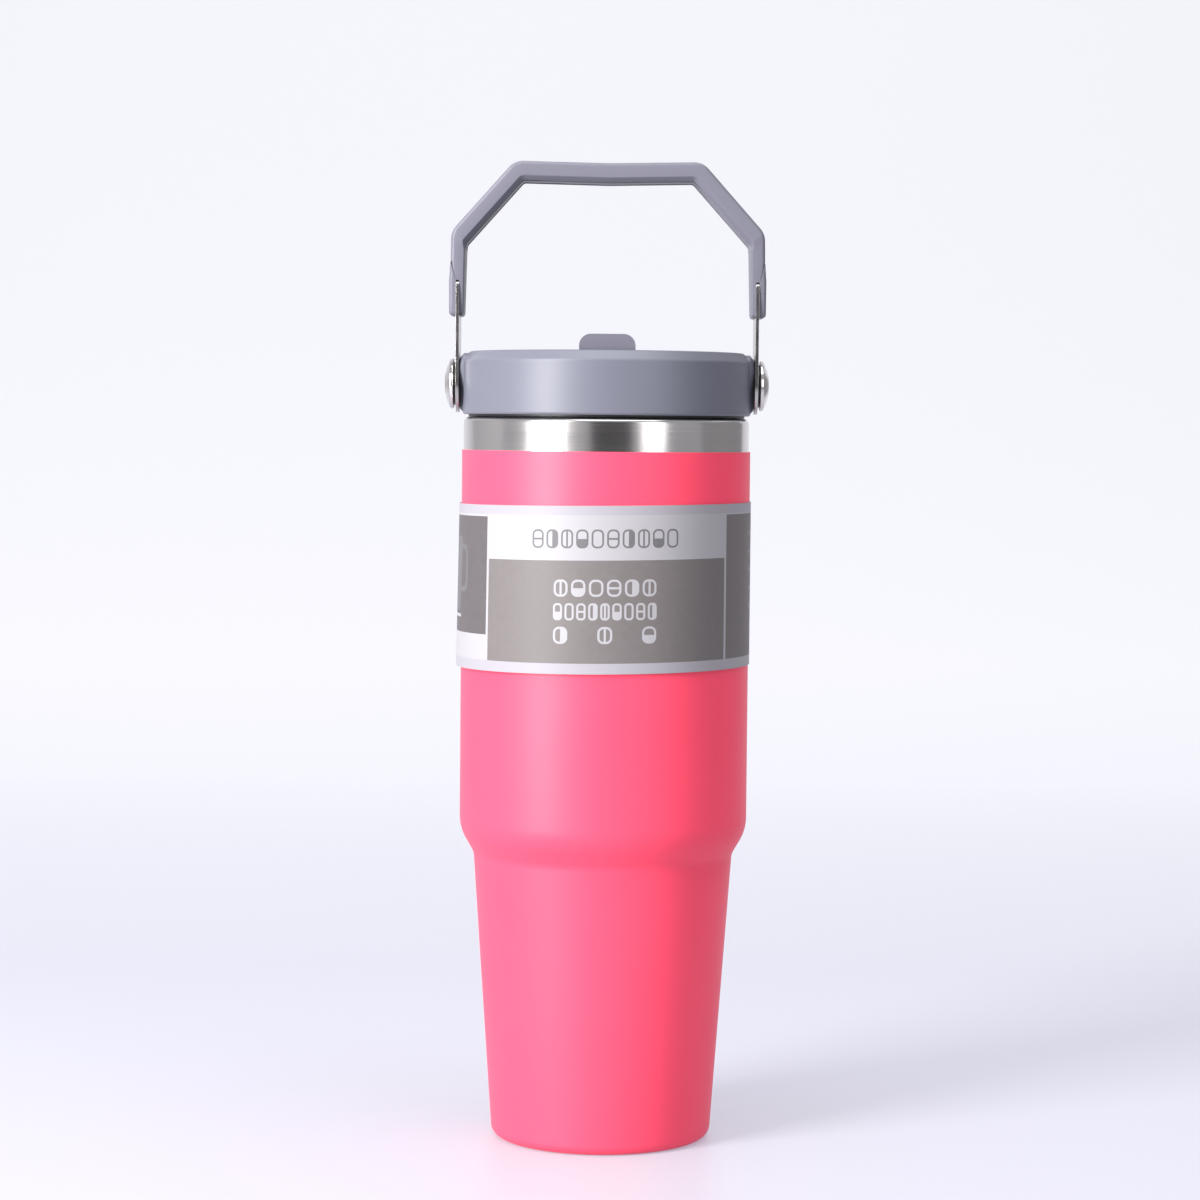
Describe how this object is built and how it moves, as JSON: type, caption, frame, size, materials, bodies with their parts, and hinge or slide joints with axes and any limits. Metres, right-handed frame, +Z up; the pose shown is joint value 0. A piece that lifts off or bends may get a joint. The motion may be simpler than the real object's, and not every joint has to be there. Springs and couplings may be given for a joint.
{
  "type": "insulated tumbler with lid",
  "caption": "Tall vacuum-insulated tumbler with a stepped cone body, screw lid, flip-up straw spout and a swinging carry handle.",
  "frame": {"origin": "centre of the foot ring, on the surface the tumbler stands on", "axes": "+Z up along the body's axis; -Y towards the spout's tab, the side drunk from; the handle's pivots lie along X"},
  "size_m": [0.0996, 0.0913, 0.3011],
  "materials": {
    "coral_coat": "satin powder coat with a fine orange-peel grain",
    "bare_steel": "brushed round the body",
    "satin_steel": "electropolished inside",
    "base_steel": "spun, satin",
    "glass_solder": "fused bead",
    "getter_pellet": "sintered",
    "printed_sleeve": "printed film, gloss",
    "black_silicone": "matt",
    "clear_silicone": "milky, soft",
    "lid_plastic": "fine moulded grain",
    "spout_plastic": "smooth moulded",
    "clear_plastic": "smooth, slightly milky",
    "straw_plastic": "smooth, slightly milky",
    "grip_plastic": "fine moulded grain",
    "strap_steel": "brushed along the strap",
    "cap_steel": "turned and polished",
    "screw_steel": "polished",
    "pin_steel": "ground",
    "insert_brass": "turned",
    "black_nylon": "moulded"
  },
  "bodies": {
    "vessel": {"outer_shell": "bare_steel", "powder_coat": "coral_coat", "inner_liner": "satin_steel", "base_plate": "base_steel", "base_cover": "base_steel", "seal_bead": "glass_solder", "getter": "getter_pellet", "label_sleeve": "printed_sleeve"},
    "gasket": {"rim_gasket": "black_silicone"},
    "lid": {"lid_shell": "lid_plastic", "lid_plug": "clear_plastic", "port_seal": "clear_silicone", "vent_seal": "black_silicone", "straw": "straw_plastic", "spout_pin_left": "pin_steel", "spout_pin_right": "pin_steel", "pivot_insert_left": "insert_brass", "pivot_insert_right": "insert_brass", "pivot_screw_left": "screw_steel", "pivot_screw_right": "screw_steel", "pivot_cap_left": "cap_steel", "pivot_cap_right": "cap_steel", "inner_washer_left": "black_nylon", "inner_washer_right": "black_nylon", "outer_washer_left": "black_nylon", "outer_washer_right": "black_nylon"},
    "spout": {"spout": "spout_plastic"},
    "handle": {"grip": "grip_plastic", "strap_left": "strap_steel", "strap_right": "strap_steel", "strap_cover_left": "grip_plastic", "strap_cover_right": "grip_plastic", "strap_pins_left": "pin_steel", "strap_pins_right": "pin_steel"}
  },
  "joints": [
    {"name": "lid_rise", "type": "slide", "parent": "vessel", "child": "gasket", "axis": [0, 0, 1], "range_m": [0, 0.0095]},
    {"name": "lid_turn", "type": "hinge", "parent": "gasket", "child": "lid", "pos_m": [0, 0, 0.2232], "axis": [0, 0, 1], "range_deg": [0, 675]},
    {"name": "spout_flip", "type": "hinge", "parent": "lid", "child": "spout", "pos_m": [0, 0.01, 0.2352], "axis": [-1, 0, 0], "range_deg": [0, 90]},
    {"name": "handle_swing", "type": "hinge", "parent": "lid", "child": "handle", "pos_m": [0, 0, 0.2333], "axis": [1, 0, 0], "range_deg": [-115, 115]}
  ],
  "couplings": [
    {"joint": "lid_rise", "follows": "lid_turn", "m_per_rad": 0.00079577}
  ]
}
